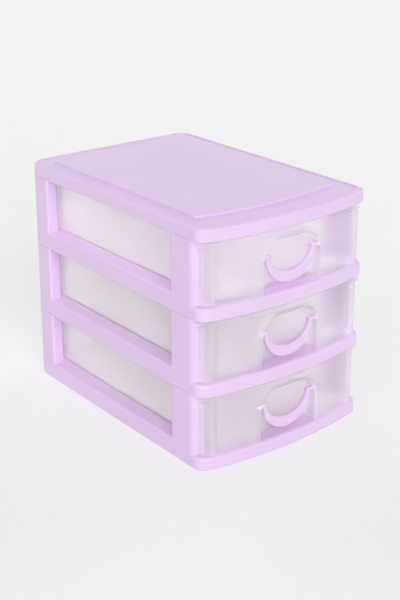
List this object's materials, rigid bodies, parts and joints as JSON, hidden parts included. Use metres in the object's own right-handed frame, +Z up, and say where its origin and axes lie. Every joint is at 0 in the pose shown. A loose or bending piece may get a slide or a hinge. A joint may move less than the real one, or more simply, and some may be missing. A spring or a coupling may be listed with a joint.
{
  "type": "desktop drawer organizer",
  "caption": "Stacked desktop organizer with a bowed front: a lilac lid and open frames hold frosted drawers that slide out by hinged crescent bail handles.",
  "frame": {"origin": "on the desk under the middle of the case's bounding box", "axes": "+X to the right seen from the front, +Y to the back, +Z up; the drawers open towards -Y"},
  "size_m": [0.13, 0.19, 0.152],
  "materials": {
    "lilac_plastic": "opaque lilac moulded plastic with a soft sheen",
    "frosted_plastic": "frosted translucent moulded plastic"
  },
  "bodies": {
    "case": {"lid": "lilac_plastic", "tier_frame_1": "lilac_plastic", "tier_frame_2": "lilac_plastic", "tier_frame_3": "lilac_plastic"},
    "drawer_1": {"drawer_1": "frosted_plastic"},
    "handle_1": {"handle_1": "lilac_plastic"},
    "drawer_2": {"drawer_2": "frosted_plastic"},
    "handle_2": {"handle_2": "lilac_plastic"},
    "drawer_3": {"drawer_3": "frosted_plastic"},
    "handle_3": {"handle_3": "lilac_plastic"}
  },
  "joints": [
    {"name": "drawer_1_slide", "type": "slide", "parent": "case", "child": "drawer_1", "axis": [0, -1, 0], "range_m": [0, 0.12]},
    {"name": "handle_1_hinge", "type": "hinge", "parent": "drawer_1", "child": "handle_1", "pos_m": [0, -0.0898, 0.0298], "axis": [-1, 0, 0], "range_deg": [-5, 115]},
    {"name": "drawer_2_slide", "type": "slide", "parent": "case", "child": "drawer_2", "axis": [0, -1, 0], "range_m": [0, 0.12]},
    {"name": "handle_2_hinge", "type": "hinge", "parent": "drawer_2", "child": "handle_2", "pos_m": [0, -0.0898, 0.0771], "axis": [-1, 0, 0], "range_deg": [-5, 115]},
    {"name": "drawer_3_slide", "type": "slide", "parent": "case", "child": "drawer_3", "axis": [0, -1, 0], "range_m": [0, 0.12]},
    {"name": "handle_3_hinge", "type": "hinge", "parent": "drawer_3", "child": "handle_3", "pos_m": [0, -0.0898, 0.1244], "axis": [-1, 0, 0], "range_deg": [-5, 115]}
  ]
}
